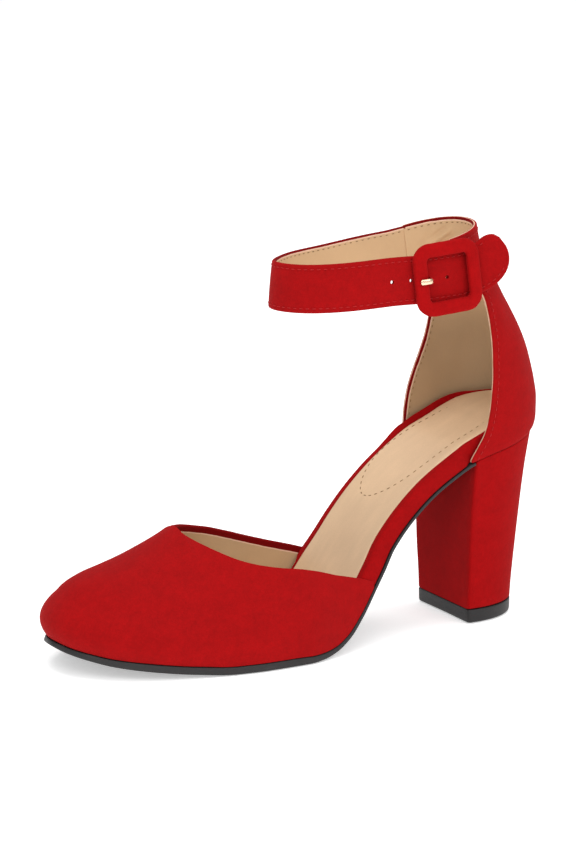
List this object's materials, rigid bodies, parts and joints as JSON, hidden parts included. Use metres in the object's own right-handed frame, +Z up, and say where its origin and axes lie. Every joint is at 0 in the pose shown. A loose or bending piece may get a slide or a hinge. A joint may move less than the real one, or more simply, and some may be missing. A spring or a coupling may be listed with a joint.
{
  "type": "ankle strap pump",
  "caption": "Left women's ankle strap pump: closed round toe, closed back, open waist, high block heel and a covered buckle.",
  "frame": {"origin": "middle of the shoe's footprint box, on the ground under the sole", "axes": "-X towards the toe, +X towards the heel; -Y towards the outer (buckle) side; +Z up"},
  "size_m": [0.2216, 0.0796, 0.1668],
  "materials": {
    "outsole_black": "smooth matte black sheet with a dark painted edge",
    "tip_black": "matte black top lift",
    "heel_suede": "red faux suede cover, matte with a short nap",
    "board_red": "red faux suede cover on the board edge",
    "sock_beige": "smooth beige lining leather, soft sheen, with a stitched outline",
    "upper_red": "red faux suede outside with a short nap, smooth beige lining inside, red stitching near the edges",
    "buckle_red": "red faux suede wrapped over the buckle frame",
    "bar_metal": "light gold plated wire",
    "prong_gold": "polished light gold"
  },
  "bodies": {
    "root": {"outsole": "outsole_black", "heel": "heel_suede", "heel_tip": "tip_black", "insole_board": "board_red", "insole": "sock_beige", "vamp": "upper_red", "quarter": "upper_red", "ankle_strap": "upper_red", "buckle_frame": "buckle_red", "buckle_bar": "bar_metal", "buckle_loop": "upper_red", "buckle_prong": "prong_gold"}
  },
  "joints": []
}
